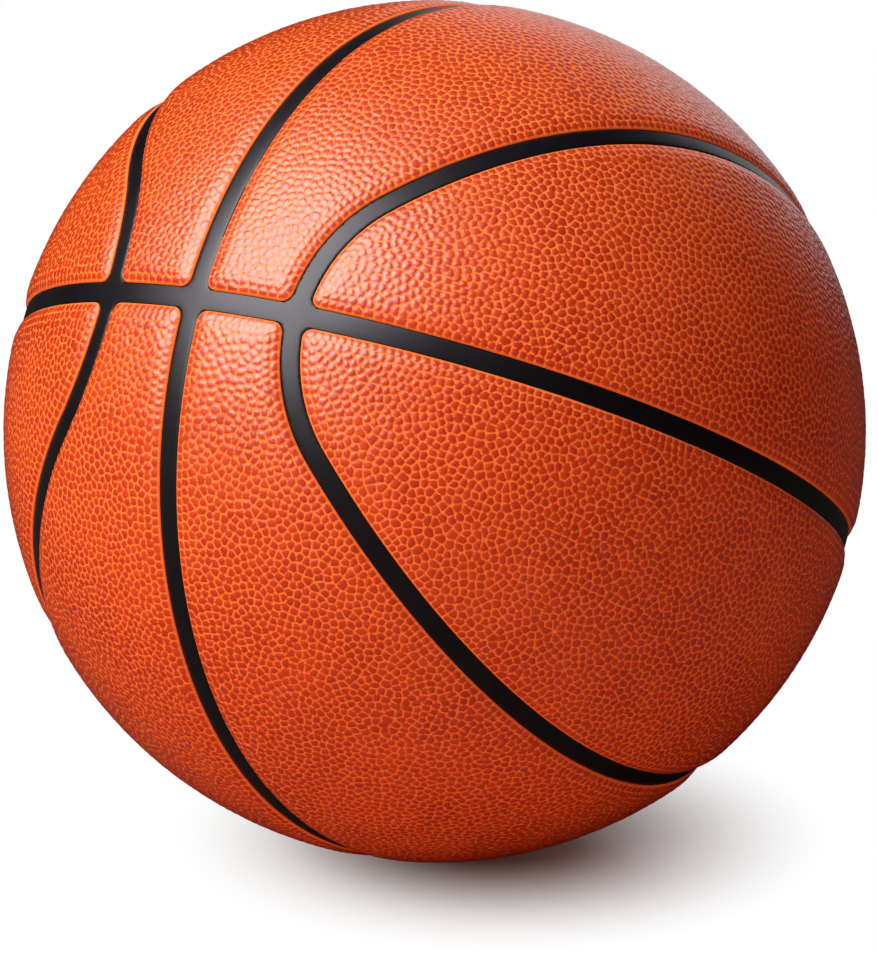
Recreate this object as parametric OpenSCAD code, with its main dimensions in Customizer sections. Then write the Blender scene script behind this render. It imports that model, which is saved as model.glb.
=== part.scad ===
// Full-size eight-panel basketball, built in layers: bladder with its valve, wound thread, rubber carcass,
// foam backings, cover panels and laid-in channel strips. Millimetres, +Z up, origin at the ball's centre.
// The seams are laid out in a frame of their own: X runs through the two poles where the main channel and
// the cross channel meet, Y through the middle of the two loops, and the main channel lies in XY. A last
// turn brings that frame into the pose in which the ball lies.

/* [Ball] */
// Diameter over the crowns of the cover panels
ball_d = 242; // [225:1:250]
// Width of the groove between neighbouring panels
channel_w = 6; // [4:0.1:6.4]
// Radius of the rolled shoulder along a panel's edge
shoulder_r = 28; // [27:1:60]
// Distance from a channel's middle at which the shoulder starts to fall
shoulder_reach = 12; // [9:0.5:12]
// Radius of a panel's corners
corner_r = 3; // [1.5:0.5:5]

/* [Seam layout] */
// Half angle that a loop's long arc spans, seen from the centre
long_r_a = 83.9; // [80:0.1:86]
// Angle that the long arc's axis dips below the loop's middle
long_tilt_a = 37.5; // [34:0.5:41]
// Angle along the main channel from a pole to the axis of a loop's end arc
end_axis_a = 41.2; // [39:0.1:44]

/* [Layers] */
// Thickness of a cover panel at its crown, thinned towards its edges under the shoulder
cover_t = 1.6; // [1.4:0.1:2.4]
// Thickness of the foam backing
foam_t = 1; // [0.6:0.1:3]
// Wall of the rubber carcass
carcass_t = 0.8; // [0.7:0.1:2]
// Depth of the wound thread
winding_t = 0.5; // [0.3:0.1:1.5]
// Wall of the bladder
bladder_t = 0.7; // [0.5:0.1:1.5]
// Film of adhesive between bonded layers
glue_t = 0.05; // [0.03:0.01:0.1]

/* [Channel strips] */
// Depth of a strip's top below the panels' crowns
strip_drop = 1.5; // [1.2:0.1:1.8]
// Gap on each side between a strip and the panels
strip_side_gap = 0.3; // [0.1:0.05:0.5]
// Gap where a strip butts against the main strip
butt_gap = 0.1; // [0.05:0.05:0.3]

/* [Valve] */
// Diameter of the round pad in the main strip around the valve
pad_d = 10; // [9:0.5:14]
// Gap between the pad and the panels
pad_gap = 0.3; // [0.1:0.05:0.5]
// Diameter of the valve core's head
core_head_d = 6.4; // [5.6:0.2:7]
// Height of the valve core's head
core_head_h = 1.6; // [1.3:0.1:2.5]
// Depth of the head's top below the strip's top
core_head_drop = 0.2; // [0.1:0.05:0.5]
// Diameter of the valve core's stem
core_stem_d = 4.8; // [4:0.1:5.2]
// Length of the valve core under its head
core_stem_l = 11; // [10:0.5:14]
// Diameter of the retaining bead at the stem's foot
core_bead_d = 6; // [5.4:0.2:6.6]
// Height of the retaining bead
core_bead_h = 2; // [1:0.5:3]
// Diameter of the needle hole
needle_d = 2; // [1.6:0.1:2.4]
// Depth of the needle hole
needle_l = 9; // [6:0.5:10]
// Gap all round between parts of the valve
valve_gap = 0.1; // [0.05:0.05:0.2]
// Outer diameter of the valve boot
boot_d = 9; // [8.4:0.2:12]
// Length of the valve boot
boot_l = 16; // [15:0.5:20]
// Diameter of the valve boot's flange
boot_flange_d = 20; // [16:1:26]
// Thickness of the valve boot's flange
boot_flange_t = 1; // [0.8:0.1:1.5]
// Diameter of the reinforcing patch inside the bladder
patch_d = 36; // [30:1:46]
// Thickness of the reinforcing patch
patch_t = 0.8; // [0.6:0.1:1.2]

/* [Pose] */
// Turn of the seams about the pole axis
roll_a = 6.6; // [-45:0.1:45]
// Turn about the level axis, which lifts the front pole
lift_a = -32.6; // [-60:0.1:60]
// Turn about the vertical
yaw_a = -130.8; // [-180:0.1:180]

/* [Hidden] */
// Fineness of the round surfaces
$fn = 96;
// How far a cutting solid runs past what it cuts
overrun = 1;
// How far a shoulder's circle rises past the crown, so that the two cross at an angle and don't graze
shoulder_lift = 0.02;
// Angle by which a loop's arcs are swept past their joins
join_overrun_a = 2;
// How far walls along an end arc are set out or in at the joins, so that their faces don't graze
join_step = 0.05;
// How far the parts of a panel or a strip reach into each other at the joins
join_lap = 0.02;
// Share of a corner's radius at which its circle is centred, so that it crosses the walls at an angle
corner_seat_share = 0.97;

ball_r = ball_d / 2;
slot_half = channel_w / 2;
strip_half = slot_half - strip_side_gap;
reach_a = shoulder_reach / ball_r * 180 / PI;
bite_depth = cover_t + foam_t + overrun;

foam_r = ball_r - cover_t - glue_t;
foam_foot_r = foam_r - foam_t;
carcass_r = foam_foot_r - glue_t;
winding_r = carcass_r - carcass_t - glue_t;
bladder_r = winding_r - winding_t - glue_t;
bladder_in_r = bladder_r - bladder_t;
strip_top_r = ball_r - strip_drop;
strip_foot_r = carcass_r + glue_t;

// Angle between the axes of the long arc and an end arc, and the end arc's half angle, with which it runs
// into the long arc
axis_gap_a = acos(sin(end_axis_a) * cos(long_tilt_a));
end_r_a = long_r_a - axis_gap_a;
end_wall_a = end_r_a + join_step / ball_r * 180 / PI;
// Angle along the main channel from a pole to where a loop crosses it
crossing_a = end_axis_a - end_r_a;
// Turns about the two axes at which the long arc and the end arc meet
long_end_a = atan2(-sin(end_axis_a) * sin(long_tilt_a), cos(end_axis_a));
end_join_a = atan2(-cos(end_axis_a) * cos(long_tilt_a), -sin(long_tilt_a));
end_span_a = -90 - end_join_a;
long_span_a = 180 + 2 * long_end_a;

core_top_r = strip_top_r - core_head_drop;
core_head_foot_r = core_top_r - core_head_h;
core_foot_r = core_head_foot_r - core_stem_l;
boot_top_r = carcass_r;
boot_foot_r = boot_top_r - boot_l;
flange_top_r = bladder_in_r - patch_t - 2 * glue_t;
boot_hole_r = boot_d / 2 + valve_gap;
bead_room_top_r = core_foot_r + core_bead_h + valve_gap;

cover_colour = [0.82, 0.27, 0.08];
strip_colour = [0.09, 0.09, 0.1];
foam_colour = [0.16, 0.16, 0.17];
rubber_colour = [0.13, 0.13, 0.14];
thread_colour = [0.9, 0.89, 0.84];
butyl_colour = [0.18, 0.17, 0.17];
valve_colour = [0.12, 0.12, 0.12];

// Frames

// Brings the seams' frame into the pose in which the ball lies
module posed() {
    rotate([roll_a, lift_a, yaw_a]) children();
}

// Turns the upper right quarter of the ball onto another quarter
module quarter(right, upper) {
    over_x = !right && !upper ? 180 : 0;
    over_y = right && !upper ? 180 : 0;
    over_z = !right && upper ? 180 : 0;
    rotate([over_x, over_y, over_z]) children();
}

// Puts Z along the valve's axis, pointing out of the ball
module at_valve() {
    rotate([90, 0, 0]) children();
}

// Puts Z out of the ball at an angle along the main channel from a pole, with X along the main channel
module at_main_channel(angle) {
    rotate([0, 0, angle]) rotate([0, 90, 0]) rotate([0, 0, 90]) children();
}

// Flat sections, drawn with the axis of revolution along Y

// Points Y along the ray at an angle from the axis of revolution
module ray(angle) {
    rotate(-angle) children();
}

// Half ring between two radii
module half_ring(outer_r, inner_r) {
    intersection() {
        difference() {
            circle(outer_r);
            circle(inner_r);
        }
        translate([0, -outer_r - overrun]) square([outer_r + overrun, 2 * (outer_r + overrun)]);
    }
}

// What the rolled shoulder takes off beside a channel at an angle. Side 1 has its panel at smaller angles
// than the channel, and side -1 at larger ones.
module shoulder_bite(angle, side) {
    ray(angle - side * reach_a)
        difference() {
            translate([side > 0 ? 0 : -shoulder_reach, ball_r - bite_depth])
                square([shoulder_reach, bite_depth + overrun]);
            translate([0, ball_r - shoulder_r + shoulder_lift]) circle(shoulder_r);
        }
}

// Everything on the axis's side of a wall that stands beside the channel
module axis_side(wall) {
    ray($channel_a) translate([wall - 2 * ball_d, -ball_d]) square([2 * ball_d, 2 * ball_d]);
}

// Section of what a loop and the space outside it take off a layer inside it
module inside_bite(top_r, foot_r, rolled) {
    difference() {
        half_ring(top_r + overrun, foot_r - overrun);
        axis_side(-slot_half);
    }
    if (rolled) shoulder_bite($channel_a, 1);
}

// Section of what a loop and the space inside it take off a layer outside it
module outside_bite(top_r, foot_r, rolled) {
    intersection() {
        half_ring(top_r + overrun, foot_r - overrun);
        axis_side(slot_half);
    }
    if (rolled) shoulder_bite($channel_a, -1);
}

// Section of a laid-in strip
module strip_section() {
    intersection() {
        half_ring(strip_top_r, strip_foot_r);
        ray($channel_a) translate([-strip_half, 0]) square([2 * strip_half, ball_d]);
    }
}

// Section of what lies on both sides of a strip
module beside_strip(half) {
    difference() {
        half_ring(strip_top_r + overrun, strip_foot_r - overrun);
        ray($channel_a) translate([-half, 0]) square([2 * half, ball_d]);
    }
}

// Sweeps

// Everything past the plane in which the long arc meets an end arc, from a lap before it. Side 1 is the end at
// the front pole.
module past_join(side, lap) {
    rotate([-90 - long_tilt_a, 0, 0])
        rotate([0, 0, side > 0 ? long_end_a : 180 - long_end_a])
            translate([-ball_d, side > 0 ? -lap : lap - 2 * ball_d, -ball_d]) cube(2 * ball_d);
}

// Sweeps a section along the long arc of the upper right loop, past both joins
module long_sweep() {
    let ($channel_a = long_r_a)
        rotate([-90 - long_tilt_a, 0, 0])
            rotate_extrude(start = -180 - long_end_a - join_overrun_a,
                           angle = long_span_a + 2 * join_overrun_a)
                children();
}

// Sweeps a section along an end arc of the upper right loop, past the join and the main channel
module end_sweep(side, arc_a) {
    let ($channel_a = arc_a)
        rotate([0, 90, side > 0 ? end_axis_a : 180 - end_axis_a])
            rotate_extrude(start = (side > 0 ? end_join_a : 90) - join_overrun_a,
                           angle = end_span_a + 2 * join_overrun_a)
                children();
}

// Sweeps a section round a great circle square to Z
module ring_sweep() {
    let ($channel_a = 90) rotate_extrude() children();
}

// What the shoulder along the main channel takes off the upper half
module main_bite() {
    ring_sweep() shoulder_bite(90, 1);
}

// What the shoulder along the cross channel takes off the right half
module cross_bite() {
    rotate([-90, 0, 0]) main_bite();
}

// Everything below a height
module below(height) {
    translate([-ball_d, -ball_d, height - 2 * ball_d]) cube(2 * ball_d);
}

// What rounds a panel's corner at an angle along the main channel. Side 1 has the panel at larger angles.
module corner_bite(angle, side) {
    near = slot_half - overrun;
    seat = slot_half + corner_seat_share * corner_r;
    at_main_channel(angle)
        translate([0, 0, foam_foot_r - overrun])
            linear_extrude(ball_r - foam_foot_r + 2 * overrun)
                difference() {
                    translate([side > 0 ? near : -seat, near]) square(seat - near);
                    translate([side * seat, seat]) circle(corner_r);
                }
}

// Panels of the upper right quarter, each made in three parts that meet where the loop's arcs do

// Quarter of a layer between two radii, from beside the main channel and the cross channel
module blank(top_r, foot_r, rolled, near = slot_half) {
    difference() {
        sphere(top_r);
        sphere(foot_r);
        if (rolled) main_bite();
        below(near);
        rotate([-90, 0, 0]) below(near);
    }
}

// Layer of a centre panel between two radii
module centre_layer(top_r, foot_r, rolled) {
    difference() {
        blank(top_r, foot_r, rolled);
        long_sweep() inside_bite(top_r, foot_r, rolled);
        past_join(1, 0);
        past_join(-1, 0);
    }
    for (side = [1, -1])
        intersection() {
            difference() {
                blank(top_r, foot_r, rolled);
                end_sweep(side, end_wall_a) inside_bite(top_r, foot_r, rolled);
            }
            past_join(side, join_lap);
        }
}

// Layer of a wing panel between two radii
module wing_layer(top_r, foot_r, rolled) {
    difference() {
        blank(top_r, foot_r, rolled);
        if (rolled) cross_bite();
        long_sweep() outside_bite(top_r, foot_r, rolled);
        past_join(1, 0);
        past_join(-1, 0);
    }
    for (side = [1, -1])
        intersection() {
            difference() {
                blank(top_r, foot_r, rolled);
                if (rolled) cross_bite();
                end_sweep(side, end_wall_a) outside_bite(top_r, foot_r, rolled);
            }
            past_join(side, join_lap);
        }
}

// Room around the valve's pad
module valve_room() {
    at_valve() cylinder(r = pad_d / 2 + pad_gap, h = ball_r + overrun);
}

// Rounds the corners of a centre panel's layer, and makes room for the valve on the left
module centre_trim(right, upper) {
    difference() {
        quarter(right, upper) difference() {
            children();
            corner_bite(crossing_a, 1);
            corner_bite(180 - crossing_a, -1);
        }
        if (!right) valve_room();
    }
}

// Rounds the corners of a wing panel's layer
module wing_trim(right, upper) {
    quarter(right, upper) difference() {
        children();
        corner_bite(0, 1);
        corner_bite(crossing_a, -1);
        corner_bite(180 - crossing_a, 1);
        corner_bite(180, -1);
    }
}

module centre_cover(right, upper) {
    color(cover_colour) posed() centre_trim(right, upper) centre_layer(ball_r, foam_r + glue_t, true);
}

module wing_cover(right, upper) {
    color(cover_colour) posed() wing_trim(right, upper) wing_layer(ball_r, foam_r + glue_t, true);
}

module centre_foam(right, upper) {
    color(foam_colour) posed() centre_trim(right, upper) centre_layer(foam_r, foam_foot_r, false);
}

module wing_foam(right, upper) {
    color(foam_colour) posed() wing_trim(right, upper) wing_layer(foam_r, foam_foot_r, false);
}

// Channel strips

// The unbroken ring, with a round pad that holds the head of the valve core
module main_channel_strip() {
    color(strip_colour) posed()
        difference() {
            union() {
                ring_sweep() strip_section();
                at_valve() intersection() {
                    cylinder(r = pad_d / 2, h = ball_r);
                    difference() {
                        sphere(strip_top_r);
                        sphere(strip_foot_r);
                    }
                }
            }
            at_valve() cylinder(r = core_head_d / 2 + valve_gap, h = ball_r);
        }
}

module cross_channel_strip(upper) {
    color(strip_colour) posed() rotate([upper ? 0 : 180, 0, 0])
        difference() {
            rotate([90, 0, 0]) ring_sweep() strip_section();
            below(strip_half + butt_gap);
        }
}

// Quarter of the layer that the strips lie in, from beside the main strip
module strip_blank() {
    blank(strip_top_r, strip_foot_r, false, strip_half + butt_gap);
}

module loop_strip(right, upper) {
    color(strip_colour) posed() quarter(right, upper) {
        difference() {
            strip_blank();
            long_sweep() beside_strip(strip_half);
            past_join(1, 0);
            past_join(-1, 0);
        }
        for (side = [1, -1])
            intersection() {
                difference() {
                    strip_blank();
                    end_sweep(side, end_r_a) beside_strip(strip_half - join_step);
                }
                past_join(side, join_lap);
            }
    }
}

// Inner layers

// Hollow ball with a hole for the valve boot
module pierced_shell(outer_r, inner_r) {
    posed()
        difference() {
            sphere(outer_r);
            sphere(inner_r);
            at_valve() cylinder(r = boot_hole_r, h = ball_r);
        }
}

module carcass() {
    color(rubber_colour) pierced_shell(carcass_r, carcass_r - carcass_t);
}

module thread_winding() {
    color(thread_colour) pierced_shell(winding_r, winding_r - winding_t);
}

module bladder() {
    color(butyl_colour) pierced_shell(bladder_r, bladder_in_r);
}

// Valve

// Round dish that follows the inside of the bladder
module dish(top_r, thickness, dish_d) {
    intersection() {
        difference() {
            sphere(top_r);
            sphere(top_r - thickness);
        }
        cylinder(r = dish_d / 2, h = ball_r);
    }
}

module valve_patch() {
    color(butyl_colour) posed() at_valve()
        difference() {
            dish(bladder_in_r - glue_t, patch_t, patch_d);
            cylinder(r = boot_hole_r, h = ball_r);
        }
}

// Tube that the core plugs into, with a flange under the patch
module valve_boot() {
    color(valve_colour) posed() at_valve()
        difference() {
            union() {
                translate([0, 0, boot_foot_r]) cylinder(r = boot_d / 2, h = boot_top_r - boot_foot_r);
                dish(flange_top_r, boot_flange_t, boot_flange_d);
            }
            translate([0, 0, boot_foot_r - overrun])
                cylinder(r = core_stem_d / 2 + valve_gap, h = boot_l + 2 * overrun);
            translate([0, 0, boot_foot_r - overrun])
                cylinder(r = core_bead_d / 2 + valve_gap, h = bead_room_top_r - boot_foot_r + overrun);
            translate([0, 0, core_head_foot_r - valve_gap])
                cylinder(r = core_head_d / 2 + valve_gap, h = core_head_h + overrun);
        }
}

// Soft plug with the needle hole and a retaining bead
module valve_core() {
    color(valve_colour) posed() at_valve()
        difference() {
            union() {
                translate([0, 0, core_head_foot_r]) cylinder(r = core_head_d / 2, h = core_head_h);
                translate([0, 0, core_foot_r])
                    cylinder(r = core_stem_d / 2, h = core_stem_l + core_head_h / 2);
                translate([0, 0, core_foot_r]) cylinder(r = core_bead_d / 2, h = core_bead_h);
            }
            translate([0, 0, core_top_r - needle_l]) cylinder(r = needle_d / 2, h = needle_l + overrun);
        }
}

bladder();
valve_patch();
valve_boot();
valve_core();
thread_winding();
carcass();
centre_foam(true, true);  // centre_foam_right_upper
centre_foam(true, false);  // centre_foam_right_lower
centre_foam(false, true);  // centre_foam_left_upper
centre_foam(false, false);  // centre_foam_left_lower
wing_foam(true, true);  // wing_foam_right_upper
wing_foam(true, false);  // wing_foam_right_lower
wing_foam(false, true);  // wing_foam_left_upper
wing_foam(false, false);  // wing_foam_left_lower
centre_cover(true, true);  // centre_cover_right_upper
centre_cover(true, false);  // centre_cover_right_lower
centre_cover(false, true);  // centre_cover_left_upper
centre_cover(false, false);  // centre_cover_left_lower
wing_cover(true, true);  // wing_cover_right_upper
wing_cover(true, false);  // wing_cover_right_lower
wing_cover(false, true);  // wing_cover_left_upper
wing_cover(false, false);  // wing_cover_left_lower
main_channel_strip();
cross_channel_strip(true);  // cross_channel_strip_upper
cross_channel_strip(false);  // cross_channel_strip_lower
loop_strip(true, true);  // loop_strip_right_upper
loop_strip(true, false);  // loop_strip_right_lower
loop_strip(false, true);  // loop_strip_left_upper
loop_strip(false, false);  // loop_strip_left_lower
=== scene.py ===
"""Studio scene of a full-size composite basketball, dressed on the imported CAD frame.

Lengths are in millimetres and angles, whose names end in _a, in degrees, unless a docstring says otherwise.
"""
import logging
import math
from dataclasses import dataclass, field
from enum import Enum
from typing import Any, Callable, Iterable, Optional, Sequence, Union

import bmesh
import bpy
import numpy as np
from mathutils import Matrix, Vector, kdtree
from mathutils.geometry import delaunay_2d_cdt


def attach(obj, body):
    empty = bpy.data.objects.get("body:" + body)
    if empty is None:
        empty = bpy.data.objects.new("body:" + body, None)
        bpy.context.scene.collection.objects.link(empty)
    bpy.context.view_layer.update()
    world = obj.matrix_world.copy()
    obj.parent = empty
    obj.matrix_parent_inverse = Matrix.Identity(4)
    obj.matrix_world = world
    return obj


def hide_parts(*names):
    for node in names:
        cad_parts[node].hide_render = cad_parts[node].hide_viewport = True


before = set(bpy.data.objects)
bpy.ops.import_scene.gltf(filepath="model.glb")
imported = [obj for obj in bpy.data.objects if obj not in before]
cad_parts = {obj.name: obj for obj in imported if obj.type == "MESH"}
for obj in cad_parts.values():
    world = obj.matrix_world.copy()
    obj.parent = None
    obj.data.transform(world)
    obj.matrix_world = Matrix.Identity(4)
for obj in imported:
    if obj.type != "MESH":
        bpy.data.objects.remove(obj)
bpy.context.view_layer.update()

logging.basicConfig(level=logging.INFO, format="%(message)s")
log = logging.getLogger("basketball")

Array = np.ndarray
Material = bpy.types.Material
Object = bpy.types.Object
Tree = bpy.types.NodeTree
Colour = tuple[float, float, float]
Span = tuple[float, float]
Net = tuple[Array, Array]

MM = 0.001
BODY = "root"
WHITE: Colour = (1.0, 1.0, 1.0)
TINY = 1e-9
QUARTERS = [(right, upper) for right in (True, False) for upper in (True, False)]


# Node trees


def operator(operation: str, swapped: bool = False) -> Callable[..., "Sock"]:
    """Makes a method of Sock that adds a Math node.

    Args:
        operation: the node's operation.
        swapped: whether the other value comes first.

    Returns:
        The method.
    """

    def method(self: "Sock", *other: Any) -> "Sock":
        """Adds the node.

        Args:
            other: the other socket or number, where the operation takes one.

        Returns:
            The result.
        """
        values = (*other, self) if swapped else (self, *other)
        node = self.nodes.add("ShaderNodeMath", dict(enumerate(values)), operation=operation)
        return Sock(self.nodes, node.outputs[0])

    return method


class Sock:
    """An output socket that takes part in sums, products and comparisons."""

    __add__, __radd__ = operator("ADD"), operator("ADD", swapped=True)
    __sub__, __rsub__ = operator("SUBTRACT"), operator("SUBTRACT", swapped=True)
    __mul__, __rmul__ = operator("MULTIPLY"), operator("MULTIPLY", swapped=True)
    __truediv__ = operator("DIVIDE")
    least, most, root = operator("MINIMUM"), operator("MAXIMUM"), operator("SQRT")

    def __init__(self, nodes: "Nodes", socket: bpy.types.NodeSocket) -> None:
        """Wraps one output of a tree."""
        self.nodes = nodes
        self.socket = socket

    def ramp(self, low: float, high: float) -> "Sock":
        """Rises from 0 to 1, eased at both ends.

        Args:
            low: the value that gives 0.
            high: the value that gives 1.

        Returns:
            The eased value.
        """
        inputs = {"Value": self, "From Min": low, "From Max": high}
        node = self.nodes.add("ShaderNodeMapRange", inputs, interpolation_type="SMOOTHSTEP", clamp=True)
        return Sock(self.nodes, node.outputs[0])


class Nodes:
    """Adds nodes to one tree."""

    def __init__(self, tree: Tree) -> None:
        """Starts on a shader or geometry tree."""
        self.tree = tree

    def give(self, socket: bpy.types.NodeSocket, value: Any) -> None:
        """Feeds an input.

        Args:
            socket: the input.
            value: a wrapped output to link it to, or a plain value to set it to.
        """
        if isinstance(value, Sock):
            self.tree.links.new(value.socket, socket)
        else:
            socket.default_value = value

    def add(self, kind: str, inputs: Optional[dict] = None, **settings: Any) -> bpy.types.Node:
        """Adds a node.

        Args:
            kind: the node's type.
            inputs: values or sockets, by input name or number.
            settings: the node's own settings, which are set first.

        Returns:
            The node.
        """
        node = self.tree.nodes.new(kind)
        for name, value in settings.items():
            setattr(node, name, value)
        for key, value in (inputs or {}).items():
            self.give(node.inputs[key], value)
        return node

    def out(self, node: bpy.types.Node, key: Union[str, int] = 0) -> Sock:
        """Wraps the output of a node that has this name or number."""
        return Sock(self, node.outputs[key])

    def get(self, kind: str, key: Union[str, int] = 0, **settings: Any) -> Sock:
        """Adds a node without inputs and wraps one of its outputs."""
        return self.out(self.add(kind, **settings), key)

    def mix(self, share: Any, first: Any, second: Any) -> Sock:
        """Mixes two colours, of which the second has this share."""
        sides = {key: (*c, 1.0) if isinstance(c, tuple) else c for key, c in ((6, first), (7, second))}
        return self.out(self.add("ShaderNodeMix", {0: share, **sides}, data_type="RGBA"), 2)

    def noise(self, where: Sock, per_mm: float, detail: float = 3.0, rough: float = 0.5) -> Sock:
        """Noise about 0.5, with its lumps per millimetre, its octaves and the finer ones' weight."""
        inputs = {"Vector": where, "Scale": per_mm / MM, "Detail": detail, "Roughness": rough}
        return self.out(self.add("ShaderNodeTexNoise", inputs))


class Surface(Nodes):
    """A material's tree with a Principled shader."""

    def __init__(self, name: str, **constants: Any) -> None:
        """Makes the material.

        Args:
            name: the material's name.
            constants: what the shader's sockets hold all over, by name with underscores.
        """
        self.material = bpy.data.materials.new(name)
        self.material.use_nodes = True
        super().__init__(self.material.node_tree)
        self.shader = next(n for n in self.tree.nodes if n.type == "BSDF_PRINCIPLED")
        for key, value in constants.items():
            self.feed(key.replace("_", " "), value)

    def where(self) -> Sock:
        """Object coordinates."""
        return self.get("ShaderNodeTexCoord", "Object")

    def attribute(self, name: str) -> Sock:
        """A value that the mesh carries under this name."""
        return self.get("ShaderNodeAttribute", "Fac", attribute_name=name)

    def feed(self, key: str, value: Any) -> None:
        """Gives one of the shader's sockets a value or a link."""
        self.give(self.shader.inputs[key], value)

    def bump(self, height: Sock, depth_mm: float, strength: float = 1.0) -> None:
        """Gives the surface a fine relief that is this deep, of which a share shows."""
        inputs = {"Height": height, "Distance": depth_mm * MM, "Strength": strength}
        self.feed("Normal", self.out(self.add("ShaderNodeBump", inputs), "Normal"))


# Finishes. A span holds the two values between which a ramp rises.


@dataclass(frozen=True)
class PebbledLeather:
    """Composite leather: deep orange pebbles with polished tops and lighter, duller valleys."""

    top: Colour = (0.45, 0.026, 0.001)
    top_pale: Colour = (0.62, 0.058, 0.002)
    valley: Colour = (0.96, 0.240, 0.050)
    valley_span: Span = (0.05, 0.75)
    roughness: float = 0.40
    valley_roughness: float = 0.50
    specular: float = 0.14
    polish: float = 0.33
    polish_ior: float = 1.95
    polish_span: Span = (0.2, 0.7)
    least_polish: float = 0.3
    cell_share: float = 0.55
    patch_per_mm: float = 0.035
    patch_span: Span = (0.3, 0.7)
    grain_per_mm: float = 3.2
    grain_rough: float = 0.6
    grain_span: Span = (0.6, 0.85)
    grain_share: float = 0.05
    grain_roughness: float = 0.08
    grain_mm: float = 0.03
    grain_strength: float = 0.6

    def build(self) -> Material:
        """Makes the material.

        Returns:
            The material, in the file.
        """
        s = Surface("pebbled_leather", Specular_IOR_Level=self.specular,
                    Coat_Roughness=self.polish, Coat_IOR=self.polish_ior)
        where = s.where()
        dome = s.attribute("pebble")
        patch = s.noise(where, self.patch_per_mm).ramp(*self.patch_span)
        grain = s.noise(where, self.grain_per_mm, rough=self.grain_rough)
        valley = 1 - dome.ramp(*self.valley_span)
        shade = s.attribute("cell") * self.cell_share + patch * (1 - self.cell_share)
        top = s.mix(shade, self.top, self.top_pale)
        worn = grain.ramp(*self.grain_span) * self.grain_share
        s.feed("Base Color", s.mix(valley + worn, top, self.valley))
        dull = valley * (self.valley_roughness - self.roughness)
        s.feed("Roughness", self.roughness + dull + (grain - 0.5) * self.grain_roughness)
        polish = (1 - self.least_polish) * dome.ramp(*self.polish_span)
        s.feed("Coat Weight", self.least_polish + polish)
        s.bump(grain, self.grain_mm, self.grain_strength)
        return s.material


@dataclass(frozen=True)
class MattRubber:
    """Moulded rubber with pale clouds and a fine grain."""

    name: str
    colour: Colour
    pale: Colour
    roughness: float
    specular: float = 0.4
    gloss: Colour = WHITE
    grain_per_mm: float = 2.2
    grain_rough: float = 0.6
    grain_span: Span = (0.55, 0.8)
    grain_share: float = 0.4
    grain_roughness: float = 0.12
    grain_mm: float = 0.03
    grain_strength: float = 0.7
    cloud_per_mm: float = 0.06
    cloud_span: Span = (0.35, 0.7)
    cloud_roughness: float = 0.08

    def build(self) -> Material:
        """Makes the material.

        Returns:
            The material, in the file.
        """
        s = Surface(self.name, Specular_IOR_Level=self.specular, Specular_Tint=(*self.gloss, 1.0))
        where = s.where()
        cloud = s.noise(where, self.cloud_per_mm)
        grain = s.noise(where, self.grain_per_mm, 2.0, self.grain_rough)
        clouds = cloud.ramp(*self.cloud_span) * (1 - self.grain_share)
        grains = grain.ramp(*self.grain_span) * self.grain_share
        s.feed("Base Color", s.mix(clouds + grains, self.colour, self.pale))
        rougher = (grain - 0.5) * self.grain_roughness + (cloud - 0.5) * self.cloud_roughness
        s.feed("Roughness", self.roughness + rougher)
        s.bump(grain, self.grain_mm, self.grain_strength)
        return s.material


@dataclass(frozen=True)
class CellFoam:
    """Closed-cell foam, dark and full of pores."""

    colour: Colour = (0.020, 0.020, 0.022)
    # Painted shade: the darker colour that fills the pores, which are pits in the bump.
    pore_shade: Colour = (0.006, 0.006, 0.007)
    roughness: float = 0.95
    specular: float = 0.15
    pores_per_mm: float = 1.6
    pore_span: Span = (0.1, 0.5)
    pore_mm: float = 0.15

    def build(self) -> Material:
        """Makes the material.

        Returns:
            The material, in the file.
        """
        s = Surface("cell_foam", Roughness=self.roughness, Specular_IOR_Level=self.specular)
        inputs = {"Vector": s.where(), "Scale": self.pores_per_mm / MM}
        cell = s.out(s.add("ShaderNodeTexVoronoi", inputs), "Distance")
        # Painted shade: the foam turns darker in its pores.
        s.feed("Base Color", s.mix(cell.ramp(*self.pore_span), self.pore_shade, self.colour))
        s.bump(cell, self.pore_mm)
        return s.material


@dataclass(frozen=True)
class WoundThread:
    """Nylon thread wound over and over itself, in lays that cross."""

    colour: Colour = (0.62, 0.60, 0.52)
    # Painted shade: the thread's colour at half brightness, for the troughs between the lays.
    shade: Colour = (0.30, 0.28, 0.23)
    roughness: float = 0.75
    lay_roughness: float = 0.50
    specular: float = 0.5
    sheen: float = 0.3
    turns: tuple[Colour, ...] = ((0.3, 0.9, 0.2), (1.2, -0.5, 0.8))
    lays_per_mm: float = 0.35
    wander: float = 1.5
    lay_mm: float = 0.2

    def build(self) -> Material:
        """Makes the material.

        Returns:
            The material, in the file.
        """
        s = Surface("wound_thread", Specular_IOR_Level=self.specular, Sheen_Weight=self.sheen)
        where = s.where()
        lays = []
        for turn in self.turns:
            place = s.out(s.add("ShaderNodeMapping", {"Vector": where, "Rotation": turn}))
            inputs = {"Vector": place, "Scale": self.lays_per_mm / MM, "Distortion": self.wander}
            lays.append(s.out(s.add("ShaderNodeTexWave", {**inputs, "Detail": 1.0}), "Fac"))
        lay = lays[0].most(lays[1])
        # Painted shade: the thread turns darker where the lays dip between the threads.
        s.feed("Base Color", s.mix(lay, self.shade, self.colour))
        s.feed("Roughness", self.roughness - lay * (self.roughness - self.lay_roughness))
        s.bump(lay, self.lay_mm)
        return s.material


# The seams and the regions between and along them


def unit(points: Array) -> Array:
    """Brings points, none of them at the origin, onto the unit ball."""
    return points / np.linalg.norm(points, axis=-1, keepdims=True)


def side_name(right: bool, upper: bool) -> str:
    """What the CAD nodes of a quarter of the ball are called."""
    return f"{'right' if right else 'left'}_{'upper' if upper else 'lower'}"


def on_side(values: Array, positive: bool, clear: float = 0.01) -> Array:
    """Which values lie clear of nought on one side of it."""
    return values > clear if positive else values < -clear


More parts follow.
